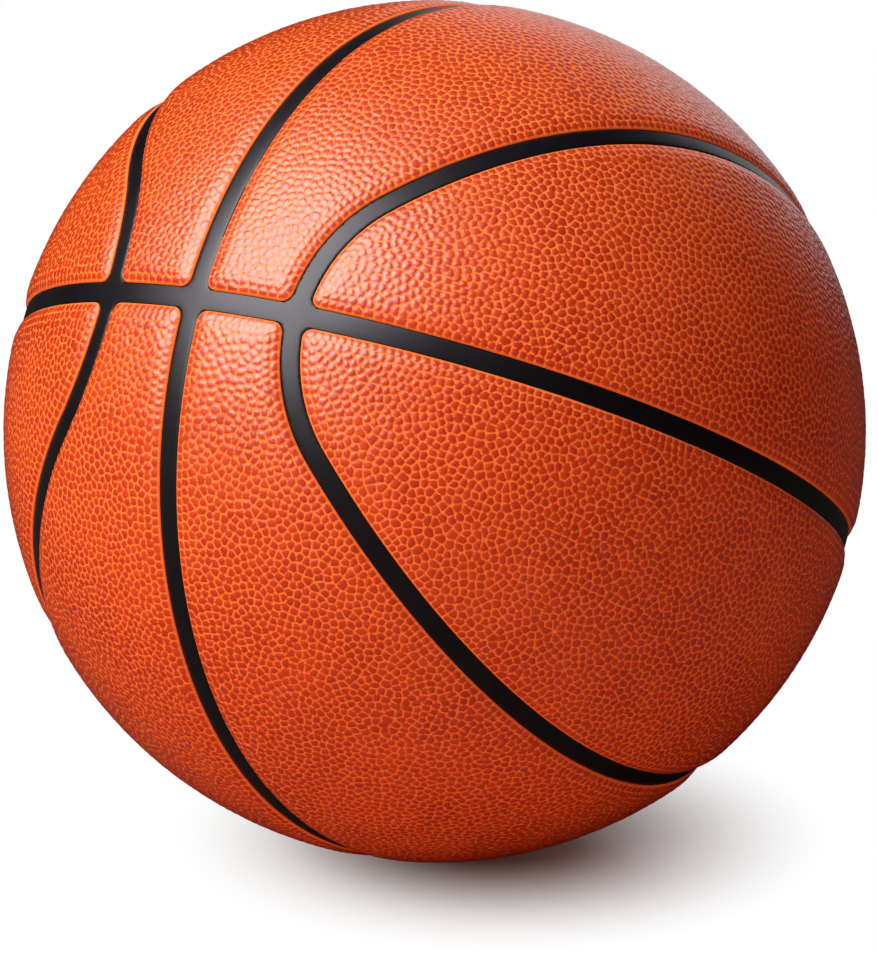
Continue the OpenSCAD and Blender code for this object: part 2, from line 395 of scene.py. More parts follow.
def angle_to(points: Array, axis: Sequence[float]) -> Array:
    """The angle in radians between each unit vector and an axis."""
    return np.arccos(np.clip(points @ np.asarray(axis), -1, 1))


@dataclass(frozen=True)
class Seams:
    """Where the channels run, in the seams' own frame, and the pose in which the ball lies.

    X goes through the poles, where the main and the cross channel meet, Y through the middle of the loops,
    and the main channel lies in XY.
    """

    ball_r: float = 121.0
    slot_half: float = 3.0
    long_r_a: float = 83.9
    long_tilt_a: float = 37.5
    end_axis_a: float = 41.2
    roll_a: float = 6.6
    lift_a: float = -32.6
    yaw_a: float = -130.8
    corner_r: float = 3.2
    valve_room_r: float = 5.3

    def axes(self) -> tuple[Array, Array]:
        """The axes of a loop's long arc and of its end arc.

        Returns:
            Two unit vectors, for the upper right quarter with X taken as positive.
        """
        tilt, end = math.radians(self.long_tilt_a), math.radians(self.end_axis_a)
        long_axis = np.array([0.0, math.cos(tilt), -math.sin(tilt)])
        return long_axis, np.array([math.cos(end), math.sin(end), 0.0])

    @property
    def end_r(self) -> float:
        """The end arc's half angle in radians, with which it runs into the long arc."""
        long_axis, end_axis = self.axes()
        return math.radians(self.long_r_a) - math.acos(float(long_axis @ end_axis))

    def pose(self) -> Array:
        """The turn from the seams' frame to the pose in which the ball lies.

        Returns:
            A matrix of three rows and columns.
        """
        turns = ((self.yaw_a, "Z"), (self.lift_a, "Y"), (self.roll_a, "X"))
        yaw, lift, roll = (Matrix.Rotation(math.radians(a), 3, axis) for a, axis in turns)
        return np.array(yaw @ lift @ roll)

    def from_plane(self, offsets: Array) -> Array:
        """Distances along the surface from a plane through the centre, for offsets from 0 to 1."""
        return self.ball_r * np.arcsin(np.clip(offsets, 0, 1))

    def from_valve(self, points: Array) -> Array:
        """Distances along the surface from the valve's middle."""
        return self.ball_r * angle_to(points, (0.0, -1.0, 0.0))

    def into_loop(self, points: Array) -> Array:
        """How far each point lies inside its loop's middle line.

        Args:
            points: unit vectors folded onto the quarter in which all three numbers are positive.

        Returns:
            Distances along the surface, negative outside.
        """
        long_axis, end_axis = self.axes()
        join = np.cross(end_axis, long_axis)
        by_long = math.radians(self.long_r_a) - angle_to(points, long_axis)
        by_end = self.end_r - angle_to(points, end_axis)
        middle = np.array([0.0, 0.0, 1.0])
        past = (points @ join) * (middle @ join) < 0
        return self.ball_r * np.where(past, by_end, by_long)


class Panel(Enum):
    """The two shapes of cover panel."""

    CENTRE = "centre"
    WING = "wing"


class Strip(Enum):
    """The three kinds of channel strip."""

    MAIN = "main"
    CROSS = "cross"
    LOOP = "loop"


def rounded(first: Array, second: Array, radius: float) -> Array:
    """How far points lie inside two walls with a rounded corner, from how far inside each they lie."""
    corner = radius - np.hypot(radius - first, radius - second)
    return np.where((first < radius) & (second < radius), corner, np.minimum(first, second))


def panel_edge(seams: Seams, panel: Panel, points: Array) -> Array:
    """How far each point lies inside the edge of the nearest panel of a shape.

    Args:
        seams: the seams.
        panel: the shape.
        points: unit vectors in the seams' frame.

    Returns:
        Distances along the surface, negative outside.
    """
    q = np.abs(points)
    main = seams.from_plane(q[:, 2]) - seams.slot_half
    loop = seams.into_loop(q)
    if panel is Panel.CENTRE:
        edge = rounded(loop - seams.slot_half, main, seams.corner_r)
        return np.minimum(edge, seams.from_valve(points) - seams.valve_room_r)
    cross = seams.from_plane(q[:, 1]) - seams.slot_half
    return rounded(np.minimum(-loop - seams.slot_half, cross), main, seams.corner_r)


class Region:
    """A stretch of the ball's surface. Its points are unit vectors in the seams' frame."""

    seams: Seams

    def here(self, points: Array) -> Array:
        """Which points can belong to it at all."""
        raise NotImplementedError

    def inside(self, points: Array) -> Array:
        """How far each point lies inside its outline."""
        raise NotImplementedError

    def edge(self, points: Array) -> Array:
        """How far each point lies from its free edge."""
        return self.inside(points)

    def inward(self, points: Array, step: float = 1e-4) -> Array:
        """The direction in which a point gets inside fastest.

        Args:
            points: unit vectors in the seams' frame.
            step: how far from a point its surroundings are tried, on the unit ball.

        Returns:
            Unit vectors along the surface.
        """
        off_axis = np.where(np.abs(points[:, 2:3]) < 0.8, [[0, 0, 1.0]], [[1.0, 0, 0]])
        across = unit(np.cross(points, off_axis))
        along = np.cross(points, across)
        ways = (across, along)
        slopes = [self.inside(points + step * way) - self.inside(points - step * way) for way in ways]
        out = slopes[0][:, None] * across + slopes[1][:, None] * along
        return out / np.maximum(np.linalg.norm(out, axis=1), 1e-12)[:, None]

    def moved(self, points: Array, way: Array) -> Array:
        """Moves points inward by a distance each, and back onto the unit ball."""
        return unit(points + self.inward(points) * (way / self.seams.ball_r)[:, None])


@dataclass(frozen=True)
class PanelRegion(Region):
    """One cover panel."""

    seams: Seams
    panel: Panel
    right: bool
    upper: bool

    @property
    def node(self) -> str:
        """The CAD node of the panel's cover."""
        return f"{self.panel.value}_cover_{side_name(self.right, self.upper)}"

    def here(self, points: Array) -> Array:
        """Which points lie in the panel's quarter."""
        return on_side(points[:, 1], self.right) & on_side(points[:, 2], self.upper)

    def inside(self, points: Array) -> Array:
        """How far each point lies inside the panel's edge."""
        return panel_edge(self.seams, self.panel, points)


@dataclass(frozen=True)
class StripRegion(Region):
    """One strip of the channels, which fills the panels' rounded corners."""

    seams: Seams
    strip: Strip
    right: bool = True
    upper: bool = True
    side_gap: float = 0.15
    main_half: float = 2.75
    main_band: float = 0.06
    reach: float = 9.0
    core_hole_r: float = 3.3

    @property
    def node(self) -> str:
        """The CAD node of the strip.

        Returns:
            The node's name.
        """
        if self.strip is Strip.MAIN:
            return "main_channel_strip"
        if self.strip is Strip.CROSS:
            return f"cross_channel_strip_{'upper' if self.upper else 'lower'}"
        return f"loop_strip_{side_name(self.right, self.upper)}"

    def here(self, points: Array) -> Array:
        """Which points lie where the strip runs.

        Args:
            points: unit vectors in the seams' frame.

        Returns:
            True where they do.
        """
        q = np.abs(points)
        if self.strip is Strip.MAIN:
            return q[:, 2] < self.main_band
        level = on_side(points[:, 2], self.upper)
        if self.strip is Strip.CROSS:
            return level & (self.seams.from_plane(q[:, 1]) < self.reach)
        near = np.abs(self.seams.into_loop(q)) < self.reach
        return level & near & on_side(points[:, 1], self.right)

    def inside(self, points: Array) -> Array:
        """How far each point lies inside the strip's outline, its butt ends too.

        Args:
            points: unit vectors in the seams' frame.

        Returns:
            Distances along the surface, negative outside.
        """
        main = self.seams.from_plane(np.abs(points[:, 2]))
        edge = self.edge(points)
        if self.strip is not Strip.MAIN:
            return np.minimum(edge, main - self.main_half)
        from_valve = self.seams.from_valve(points)
        bar = np.maximum(self.main_half - main, self.seams.valve_room_r - from_valve)
        return np.minimum(edge, np.minimum(bar, from_valve - self.core_hole_r))

    def edge(self, points: Array) -> Array:
        """How far each point lies from the nearest panel, less the gap."""
        centre, wing = (panel_edge(self.seams, panel, points) for panel in Panel)
        return -np.maximum(centre, wing) - self.side_gap


# The pebbles


def tree_of(points: Array) -> kdtree.KDTree:
    """A tree that finds near neighbours.

    Args:
        points: the points, in rows.

    Returns:
        The balanced tree.
    """
    tree = kdtree.KDTree(len(points))
    for i, p in enumerate(points.tolist()):
        tree.insert(p, i)
    tree.balance()
    return tree


def neighbours(tree: kdtree.KDTree, points: Array, count: int) -> Array:
    """The numbers of the points that lie nearest to each point, itself first."""
    return np.array([[n[1] for n in tree.find_n(p, count)] for p in points.tolist()])


def pick(points: Array, least: float, rng: np.random.Generator, taken: Array) -> Array:
    """Picks points at random that keep a distance from one another.

    Args:
        points: what there is to pick from.
        least: the distance.
        rng: the random source.
        taken: points that were picked before.

    Returns:
        The picked points.
    """
    tree = tree_of(points)
    alive = np.ones(len(points), bool)
    for place in taken.tolist():
        for _, other, _ in tree.find_range(place, least):
            alive[other] = False
    kept = []
    for i in rng.permutation(len(points)).tolist():
        if alive[i]:
            kept.append(i)
            for _, other, _ in tree.find_range(points[i], least):
                alive[other] = False
    return points[kept]


@dataclass(frozen=True)
class Pebbles:
    """Moulded pebbles: irregular in size and place, and in rows along a panel's edge."""

    pitch: float = 2.3
    lip: float = 0.45
    row_gap: float = 2.05
    rows: int = 2
    row_catch: float = 0.25
    inner_start_share: float = 0.4
    inner_stop_share: float = 0.42
    choices: int = 40
    inner_choices_part: int = 4
    least_share: float = 0.78
    rounds: int = 5
    near: int = 8
    reach_share: float = 1.04
    push_share: float = 0.35
    tall: Span = (0.82, 1.12)
    lean: float = 0.05
    snap: float = 0.20
    corner: float = 0.16
    flank: float = 0.7
    flank_power: float = 2.4
    seed: int = 7
    relief_seed: int = 217

    def level(self, row: Any, share: float = 0.5) -> Any:
        """How far from the edge a share of a row's width lies."""
        return self.lip + self.row_gap * (row + share)

    def scatter(self, region: Region, seed: int) -> Array:
        """Places the middles of one panel's pebbles.

        Args:
            region: the panel.
            seed: what the random picks start from.

        Returns:
            Unit vectors in the seams' frame.
        """
        rng = np.random.default_rng(self.seed + seed)
        r = region.seams.ball_r
        count = int(self.choices * 4 * math.pi * r * r / self.pitch**2)
        points = unit(rng.normal(size=(count, 3)))
        points = points[region.here(points)]
        edge = region.inside(points)
        middles, row = np.empty((0, 3)), []
        for number in range(self.rows + 1):
            in_row = number < self.rows
            if in_row:
                near = np.abs(edge - self.level(number)) < self.row_catch
                place = region.moved(points[near], self.level(number) - edge[near])
            else:
                place = points[edge > self.level(number, self.inner_start_share)]
                place = place[rng.permutation(len(place))[: len(place) // self.inner_choices_part]]
            found = pick(unit(place) * r, self.least_share * self.pitch, rng, middles)
            middles = np.concatenate([middles, found])
            row += [number if in_row else -1] * len(found)
        middles, rows = unit(middles), np.array(row)
        for _ in range(self.rounds):
            middles = self.relax(middles, region, rows)
        return middles

    def relax(self, points: Array, region: Region, row: Array) -> Array:
        """Moves the pebbles apart once, and those in a row back into it.

        Args:
            points: the middles.
            region: the panel.
            row: each pebble's row, or -1.

        Returns:
            The moved middles.
        """
        found = neighbours(tree_of(points), points, self.near)
        gap = points[:, None, :] - points[found[:, 1:]]
        apart = np.maximum(np.linalg.norm(gap, axis=2), TINY)
        reach = self.pitch * self.reach_share / region.seams.ball_r
        push = (np.maximum(0.0, reach - apart) / apart)[:, :, None] * gap
        moved = unit(points + self.push_share * push.sum(axis=1))
        edge = region.inside(moved)
        goal = np.where(row >= 0, self.level(row), edge)
        floor = self.level(self.rows, self.inner_stop_share)
        goal = np.where((row < 0) & (edge < floor), floor, goal)
        return region.moved(moved, goal - edge)

    def fields(self, points: Array, middles: Array, edge: Array, r: float, seed: int) -> Net:
        """The pebbles over a panel.

        Args:
            points: the panel's points, as unit vectors.
            middles: the pebbles' middles.
            edge: how far each point is inside the panel's edge.
            r: the ball's radius.
            seed: what the random heights start from.

        Returns:
            The points, moved onto the valleys where they are near one, and three values at each: the
            pebble's dome from 0 to 1, the relief, which differs from pebble to pebble, and its shade.
        """
        rng = np.random.default_rng(self.relief_seed + seed)
        tall = rng.uniform(*self.tall, len(middles))
        shade = rng.random(len(middles))
        lean = rng.normal(size=(len(middles), 3)) * self.lean
        tree = tree_of(middles)
        found = neighbours(tree, middles, self.near + 1)
        own = np.array([tree.find(p)[1] for p in points.tolist()])
        centre = middles[own]
        others = middles[found[own, 1:]]
        way = unit(others - centre[:, None, :])
        between = (others + centre[:, None, :]) / 2
        side = r * np.einsum("ijk,ijk->ij", between - points[:, None, :], way)
        each, nearest = np.arange(len(points)), side.argmin(axis=1)
        gap = side[each, nearest]
        close_by = (gap < self.snap) & (edge > self.lip + self.snap)
        points = unit(points + np.where(close_by, gap, 0.0)[:, None] * way[each, nearest] / r)
        side = r * np.einsum("ijk,ijk->ij", between - points[:, None, :], way)
        side = np.concatenate([side, (edge - self.lip)[:, None]], axis=1)
        soft = -self.corner * np.log(np.exp(-np.clip(side, -1, 6) / self.corner).sum(axis=1))
        rise = np.clip(soft / self.flank, 0, 1)
        dome = 1 - (1 - rise) ** self.flank_power
        tilt = r * np.einsum("ij,ij->i", lean[own], points - centre)
        return points, {"pebble": dome, "relief": dome * (tall[own] + tilt), "cell": shade[own]}


# Meshes


@dataclass
class Skin:
    """Points and triangles of a piece, with the values that it carries."""

    points: Array
    faces: Array
    values: dict[str, Array] = field(default_factory=dict)


def add_object(name: str, data: Any) -> Object:
    """Puts a thing in the scene.

    Args:
        name: its name.
        data: its mesh, lamp or camera.

    Returns:
        The object.
    """
    obj = bpy.data.objects.new(name, data)
    bpy.context.scene.collection.objects.link(obj)
    return obj


def mesh_object(name: str, skin: Skin) -> Object:
    """Makes an object of a skin.

    Args:
        name: the object's name.
        skin: points in metres, triangles and values.

    Returns:
        The object, in the scene.
    """
    mesh = bpy.data.meshes.new(name)
    mesh.from_pydata(skin.points.tolist(), [], skin.faces.tolist(), shade_flat=False)
    for key, value in skin.values.items():
        mesh.attributes.new(key, "FLOAT", "POINT").data.foreach_set("value", value.astype(np.float32))
    return add_object(name, mesh)


def to_mesh(name: str, shape: bmesh.types.BMesh) -> bpy.types.Mesh:
    """Turns a bmesh into a mesh and frees it.

    Args:
        name: the mesh's name.
        shape: the bmesh.

    Returns:
        The mesh.
    """
    data = bpy.data.meshes.new(name)
    shape.to_mesh(data)
    shape.free()
    return data


def lathe(name: str, profile: Sequence[Span], axis: Vector, sides: int = 96) -> Object:
    """Turns a profile about an axis through the origin.

    Args:
        name: the object's name.
        profile: (radius, height) in millimetres, anticlockwise, with both ends on the axis.
        axis: the direction of height.
        sides: how many steps a turn has.

    Returns:
        The object, in the scene.
    """
    place = Vector((0, 0, 1)).rotation_difference(axis).to_matrix()
    shape = bmesh.new()
    rings = []
    for radius, height in profile:
        turns = [0.0] if radius == 0 else [2 * math.pi * i / sides for i in range(sides)]
        ring = [Vector((radius * math.cos(t), radius * math.sin(t), height)) for t in turns]
        rings.append([shape.verts.new(place @ point * MM) for point in ring])
    for low, high in zip(rings, rings[1:]):
        for i in range(sides):
            j = (i + 1) % sides
            corners = (low[i % len(low)], low[j % len(low)], high[j % len(high)], high[i % len(high)])
            shape.faces.new(list(dict.fromkeys(corners)))
    bmesh.ops.recalc_face_normals(shape, faces=shape.faces)
    return add_object(name, to_mesh(name, shape))


def ball_mesh(level: int) -> Net:
    """An even net of triangles over the unit ball.

    Args:
        level: how often the first twenty triangles are split.

    Returns:
        Points and triangles.
    """
    shape = bmesh.new()
    bmesh.ops.create_icosphere(shape, subdivisions=level, radius=1.0)
    data = to_mesh("net", shape)
    points = np.empty(3 * len(data.vertices), np.float32)
    data.vertices.foreach_get("co", points)
    faces = np.empty(3 * len(data.polygons), np.int32)
    data.loops.foreach_get("vertex_index", faces)
    bpy.data.meshes.remove(data)
    return unit(points.reshape(-1, 3).astype(float)), faces.reshape(-1, 3)


def run_tree(obj: Object, tree: Tree, values: dict[str, Any]) -> Object:
    """Runs a geometry tree on an object and keeps the result as its plain mesh.

    Args:
        obj: the object.
        tree: the geometry tree.
        values: what its named inputs take.

    Returns:
        The same object, with the new mesh and no modifier.
    """
    modifier = obj.modifiers.new("shape", "NODES")
    modifier.node_group = tree
    sockets = {item.name: item.identifier for item in tree.interface.items_tree if item.in_out == "INPUT"}
    for key, value in values.items():
        modifier[sockets[key]] = value
    graph = bpy.context.evaluated_depsgraph_get()
    shaped = obj.evaluated_get(graph)
    mesh = bpy.data.meshes.new_from_object(shaped, preserve_all_data_layers=True, depsgraph=graph)
    old = obj.data
    obj.modifiers.remove(modifier)
    obj.data = mesh
    bpy.data.meshes.remove(old)
    mesh.name = obj.name
    return obj


class ShapeTree(Nodes):
    """A geometry tree with named inputs, which raises a flat skin and gives it its material."""

    def __init__(self, name: str, sizes: Iterable[str]) -> None:
        """Starts the tree.

        Args:
            name: the tree's name.
            sizes: the names of its number inputs.
        """
        super().__init__(bpy.data.node_groups.new(name, "GeometryNodeTree"))
        kinds = {"Geometry": "Geometry", **{size: "Float" for size in sizes}, "Finish": "Material"}
        for key, kind in kinds.items():
            self.tree.interface.new_socket(key, in_out="INPUT", socket_type=f"NodeSocket{kind}")
        self.tree.interface.new_socket("Geometry", in_out="OUTPUT", socket_type="NodeSocketGeometry")
        self.inputs = self.add("NodeGroupInput")
        self.sizes = [self.out(self.inputs, size) for size in sizes]

    def named(self, name: str) -> Sock:
        """A value that the mesh carries."""
        node = self.add("GeometryNodeInputNamedAttribute", {"Name": name}, data_type="FLOAT")
        return self.out(node, "Attribute")

    def drop(self, edge: Sock, radius: Sock) -> Sock:
        """How far a rounded edge lies below the face, at a distance from the edge."""
        corner = (radius - edge).most(0)
        return radius - (radius * radius - corner * corner).root()

    def raised(self, radius: Sock) -> Tree:
        """Moves the outer face to a radius, smooths it, gives it its material and ends the tree.

        Args:
            radius: how far from the ball's centre each point comes to lie.

        Returns:
            The tree.
        """
        place = self.get("GeometryNodeInputPosition")
        outward = self.out(self.add("ShaderNodeVectorMath", {0: place}, operation="NORMALIZE"))
        target = self.add("ShaderNodeVectorMath", {0: outward, "Scale": radius * MM}, operation="SCALE")
        inputs = {"Selection": self.named("skin"), "Position": self.out(target)}
        shape = self.out(self.add("GeometryNodeSetPosition", {"Geometry": self.out(self.inputs), **inputs}))
        for kind in ("GeometryNodeSetShadeSmooth", "GeometryNodeRealizeInstances"):
            shape = self.out(self.add(kind, {"Geometry": shape}))
        inputs = {"Geometry": shape, "Material": self.out(self.inputs, "Finish")}
        self.add("NodeGroupOutput", {"Geometry": self.out(self.add("GeometryNodeSetMaterial", inputs))})
        return self.tree


# Pieces cut from a net over the ball


def cut(net: Net, region: Region) -> Skin:
    """Cuts a region out of a net over the ball.

    Points that lie near its outline, by the net's spacing, are moved onto it in a few rounds.

    Args:
        net: the net's points and triangles.
        region: the region.

    Returns:
        The flat skin, on the unit ball, with its distance from the free edge.
    """
    margin, snap_share, rounds = 2.0, 0.36, 2
    points, faces = net
    faces = faces[region.here(points)[faces].all(axis=1)]
    used, faces = np.unique(faces, return_inverse=True)
    points, faces = points[used], faces.reshape(-1, 3)
    inside = region.inside(points)
    faces = faces[(inside[faces] > -margin).any(axis=1)]
    spacing = np.linalg.norm(points[faces[:, 0]] - points[faces[:, 1]], axis=1).mean()
    near = np.abs(inside) < snap_share * spacing * region.seams.ball_r
    for _ in range(rounds):
        points[near] = region.moved(points[near], -region.inside(points[near]))
    inside[near] = 0.0
    kept = inside >= 0
    count = kept[faces].sum(axis=1)
    extra: list[Array] = []
    more: list[tuple[int, int, int]] = []
    crossings: dict[tuple[int, int], int] = {}

    def crossing(a: int, b: int) -> int:
        """Finds where a side leaves the region.

        Args:
            a: the side's point inside.
            b: its point outside.

        Returns:
            The number of the point there.
        """
        if inside[a] == 0:
            return a
        if (a, b) not in crossings:
            crossings[a, b] = len(points) + len(extra)
            extra.append(points[a] + inside[a] / (inside[a] - inside[b]) * (points[b] - points[a]))
        return crossings[a, b]

    for face in faces[(count > 0) & (count < 3)].tolist():
        ring: list[int] = []
        for a, b in zip(face, face[1:] + face[:1]):
            if kept[a]:
                ring.append(a)
            if kept[a] != kept[b]:
                ring.append(crossing(a, b) if kept[a] else crossing(b, a))
        ring = list(dict.fromkeys(ring))
        more.extend((ring[0], ring[i], ring[i + 1]) for i in range(1, len(ring) - 1))
    points = np.concatenate([points, unit(np.array(extra))])
    faces = np.concatenate([faces[count == 3], np.array(more, dtype=faces.dtype).reshape(-1, 3)])
    used, faces = np.unique(faces, return_inverse=True)
    points, faces = points[used], faces.reshape(-1, 3)
    return Skin(points, faces, {"edge": np.maximum(region.edge(points), 0.0)})


def rim_of(faces: Array) -> Array:
    """The sides that only one triangle has.

    Args:
        faces: triangles.

    Returns:
        Pairs of points, in the triangle's direction.
    """
    sides = np.concatenate([faces[:, [0, 1]], faces[:, [1, 2]], faces[:, [2, 0]]])
    _, first, uses = np.unique(np.sort(sides, axis=1), axis=0, return_index=True, return_counts=True)
    return sides[first[uses == 1]]


def flat_under(ring: Array, rim: Array, middle: Array) -> Array:
    """Triangles between a rim and the points inside it.

    Args:
        ring: the points, the rim's first.
        rim: pairs of points along the rim.
        middle: the direction from which the face looks flat.

    Returns:
        Triangles that face the ball's centre.
    """
    across = np.cross(middle, [0.0, 0.0, 1.0])
    across /= np.linalg.norm(across)
    along = np.cross(middle, across)
    flat = unit(ring)
    flat = np.stack([flat @ across, flat @ along], axis=1) / (1 + flat @ middle)[:, None]
    out = delaunay_2d_cdt([Vector(p) for p in flat.tolist()], rim.tolist(), [], 1, TINY)
    back = [origins[0] for origins in out[3]]
    under = np.array([[back[i] for i in face] for face in out[2] if len(face) == 3])
    corner = ring[under]
    normal = np.cross(corner[:, 1] - corner[:, 0], corner[:, 2] - corner[:, 0])
    outward = np.einsum("ij,ij->i", normal, corner[:, 0]) > 0
    return np.where(outward[:, None], under[:, ::-1], under)


def close(skin: Skin, foot_r: float, inner: Optional[Array] = None) -> Skin:
    """Gives a skin its side wall and its inner face.

    Args:
        skin: the outer face.
        foot_r: the radius of the inner face.
        inner: points of a coarser inner face. Without them it is a copy of the outer one.

    Returns:
        The closed skin.
    """
    faces, top_count = skin.faces, len(skin.points)
    rim = rim_of(faces)
    if inner is None:
        low = unit(skin.points) * foot_r
        foot, under = rim + top_count, faces[:, ::-1] + top_count
    else:
        used, local = np.unique(rim, return_inverse=True)
        local = local.reshape(-1, 2)
        low = np.concatenate([unit(skin.points[used]), inner]) * foot_r
        foot = local + top_count
        under = flat_under(low, local, unit(skin.points.mean(axis=0)[None])[0]) + top_count
    wall = np.concatenate([
        np.stack([rim[:, 1], rim[:, 0], foot[:, 0]], axis=1),
        np.stack([rim[:, 1], foot[:, 0], foot[:, 1]], axis=1),
    ])
    values = {key: np.concatenate([value, np.zeros(len(low))]) for key, value in skin.values.items()}
    values["skin"] = np.concatenate([np.ones(top_count), np.zeros(len(low))])
    return Skin(np.concatenate([skin.points, low]), np.concatenate([faces, wall, under]), values)


def place_piece(obj: Object, node: str, sharp_a: float = 60.0) -> None:
    """Puts a finished piece in a CAD node's place.

    Args:
        obj: the piece.
        node: the CAD node.
        sharp_a: the angle from which an edge is sharp.
    """
    obj.data.set_sharp_from_angle(angle=math.radians(sharp_a))
    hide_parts(node)
    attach(obj, BODY)
    log.info("%s: %d faces", obj.name, len(obj.data.polygons))


@dataclass
class Covers:
    """The eight pebbled cover panels."""

    seams: Seams
    pebbles: Pebbles = Pebbles()
    shoulder_r: float = 14.0
    shoulder_reach: float = 9.0
    shoulder_lift: float = 0.02
    edge_round: float = 0.22
    foot_r: float = 119.42
    foot_inset: float = 3.0
    pebble_mm: float = 0.26
    sink_share: float = 0.62
    sink_reach: float = 1.0
    level: int = 9
    foot_level: int = 6

    def sizes(self) -> dict[str, float]:
        """What the tree's number inputs take.

        Returns:
            The values by the inputs' names, in the tree's order.
        """
        return {
            "Crown Radius": self.seams.ball_r,
            "Shoulder Radius": self.shoulder_r,
            "Shoulder Width": self.shoulder_reach - self.seams.slot_half,
            "Shoulder Lift": self.shoulder_lift,
            "Edge Rounding": self.edge_round,
            "Pebble Height": self.pebble_mm,
            "Pebble Sink": self.sink_share,
        }

    def tree(self) -> Tree:
        """Makes the tree that raises a flat skin to the panel's crown, shoulders and pebbles.

        Returns:
            The tree.
        """
        t = ShapeTree("pebbled_panel", self.sizes())
        crown, shoulder, width, lift, edge_round, height, sink = t.sizes
        edge, relief = t.named("edge"), t.named("relief")
        across = (width - edge).most(0)
        up = crown - shoulder + lift + (shoulder * shoulder - across * across).root()
        radius = (across * across + up * up).root().least(crown) - t.drop(edge, edge_round)
        return t.raised(radius + height * (relief - sink * edge.ramp(0, self.sink_reach)))

    def build(self, finish: Material) -> None:
        """Makes the eight panels and puts them in the CAD covers' place.

        Args:
            finish: their material.
        """
        tree, sizes = self.tree(), {**self.sizes(), "Finish": finish}
        net, foot = ball_mesh(self.level), ball_mesh(self.foot_level)[0]
        pose, r = self.seams.pose(), self.seams.ball_r
        regions = [PanelRegion(self.seams, panel, *side) for panel in Panel for side in QUARTERS]
        for number, region in enumerate(regions):
            skin = cut(net, region)
            middles = self.pebbles.scatter(region, number)
            points, values = self.pebbles.fields(skin.points, middles, skin.values["edge"], r, number)
            skin.points = points * r
            skin.values.update(values)
            inner = foot[region.here(foot)]
            skin = close(skin, self.foot_r, inner[region.inside(inner) > self.foot_inset])
            skin.points = skin.points @ pose.T * MM
            obj = run_tree(mesh_object(f"pebbled_{region.node}", skin), tree, sizes)
            place_piece(obj, region.node)


@dataclass
class Strips:
    """The seven channel strips, which meet flush and fill the panels' rounded corners."""

    seams: Seams
    top_r: float = 119.6
    foot_r: float = 118.36
    edge_round: float = 0.18
    crown: float = 0.08
    half_width: float = 2.7
    level: int = 9

    def sizes(self) -> dict[str, float]:
        """What the tree's number inputs take.

        Returns:
            The values by the inputs' names, in the tree's order.
        """
        return {
            "Top Radius": self.top_r,
            "Half Width": self.half_width,
            "Crown": self.crown,
            "Edge Rounding": self.edge_round,
        }

    def tree(self) -> Tree:
        """Makes the tree that raises a flat strip to its crown and rounds its free edges.

        Returns:
            The tree.
        """
        t = ShapeTree("channel_strip", self.sizes())
        top, half, crown, edge_round = t.sizes
        edge = t.named("edge")
        slack = (1 - edge / half).most(0)
        return t.raised(top - t.drop(edge, edge_round) + crown * (1 - slack * slack))

    def build(self, finish: Material) -> None:
        """Makes the strips and puts them in the CAD strips' place.

        Args:
            finish: their material.
        """
        tree, sizes = self.tree(), {**self.sizes(), "Finish": finish}
        net, pose = ball_mesh(self.level), self.seams.pose()
        regions = [StripRegion(self.seams, Strip.MAIN)]
        regions += [StripRegion(self.seams, Strip.CROSS, upper=upper) for upper in (True, False)]
        regions += [StripRegion(self.seams, Strip.LOOP, *side) for side in QUARTERS]
        for region in regions:
            skin = cut(net, region)
            skin.points = skin.points * self.top_r
            skin = close(skin, self.foot_r)
            skin.points = skin.points @ pose.T * MM
            obj = run_tree(mesh_object(f"{region.node}_moulded", skin), tree, sizes)
            place_piece(obj, region.node)


# Valve and inner layers


@dataclass
class Valve:
    """The soft plug that the needle goes into.

    Rim, groove and mouth are points outward from the head's edge, the axis and the hole's wall, and upward
    from the head's top.
    """

    seams: Seams
    head_r: float = 3.2
    head_top: float = 119.3
    head_h: float = 1.6
    stem_r: float = 2.4
    stem_l: float = 11.0
    bead_r: float = 3.0
    bead_h: float = 2.0
    bead_bevel: float = 0.7
    bead_slope: float = 0.5
    hole_r: float = 1.0
    hole_l: float = 9.0
    hole_bevel: float = 0.3
    rim: tuple[Span, ...] = ((0.0, -0.35), (-0.1, -0.14), (-0.35, -0.04))
    groove: tuple[Span, ...] = ((2.4, -0.02), (2.25, -0.1), (2.05, -0.1), (1.9, 0.0))
    mouth: tuple[Span, ...] = ((0.3, 0.0), (0.08, -0.1), (0.0, -0.35))
    sharp_a: float = 35.0

    def profile(self) -> list[Span]:
        """The plug's outline, from the foot of the stem round the head to the end of the hole.

        Returns:
            Radius and height of each point.
        """
        top = self.head_top
        under = top - self.head_h
        foot = under - self.stem_l
        bead, end = foot + self.bead_h, top - self.hole_l
        points = [
            (0, foot), (self.bead_r - self.bead_bevel, foot), (self.bead_r, foot + self.bead_bevel),
            (self.bead_r, bead - self.bead_slope), (self.stem_r, bead), (self.stem_r, under),
            (self.head_r, under),
        ]
        for start, steps in ((self.head_r, self.rim), (0, self.groove), (self.hole_r, self.mouth)):
            points += [(start + out, top + up) for out, up in steps]
        bevel = self.hole_bevel
        return points + [(self.hole_r, end + bevel), (self.hole_r - bevel, end), (0, end)]

    def build(self, finish: Material) -> None:
        """Makes the plug and puts it in the CAD plug's place.

        Args:
            finish: its material.
        """
        axis = Vector(self.seams.pose() @ np.array([0, -1.0, 0]))
        obj = lathe("valve_plug", self.profile(), axis)
        obj.data.materials.append(finish)
        obj.data.shade_smooth()
        place_piece(obj, "valve_core", self.sharp_a)


def dress(nodes: Iterable[str], finish: Material) -> None:
    """Gives CAD nodes a material.

    Args:
        nodes: the nodes' names.
        finish: the material.
    """
    for name in nodes:
        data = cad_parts[name].data
        data.materials.clear()
        data.materials.append(finish)
        log.info("%s: %s", name, finish.name)


# Studio


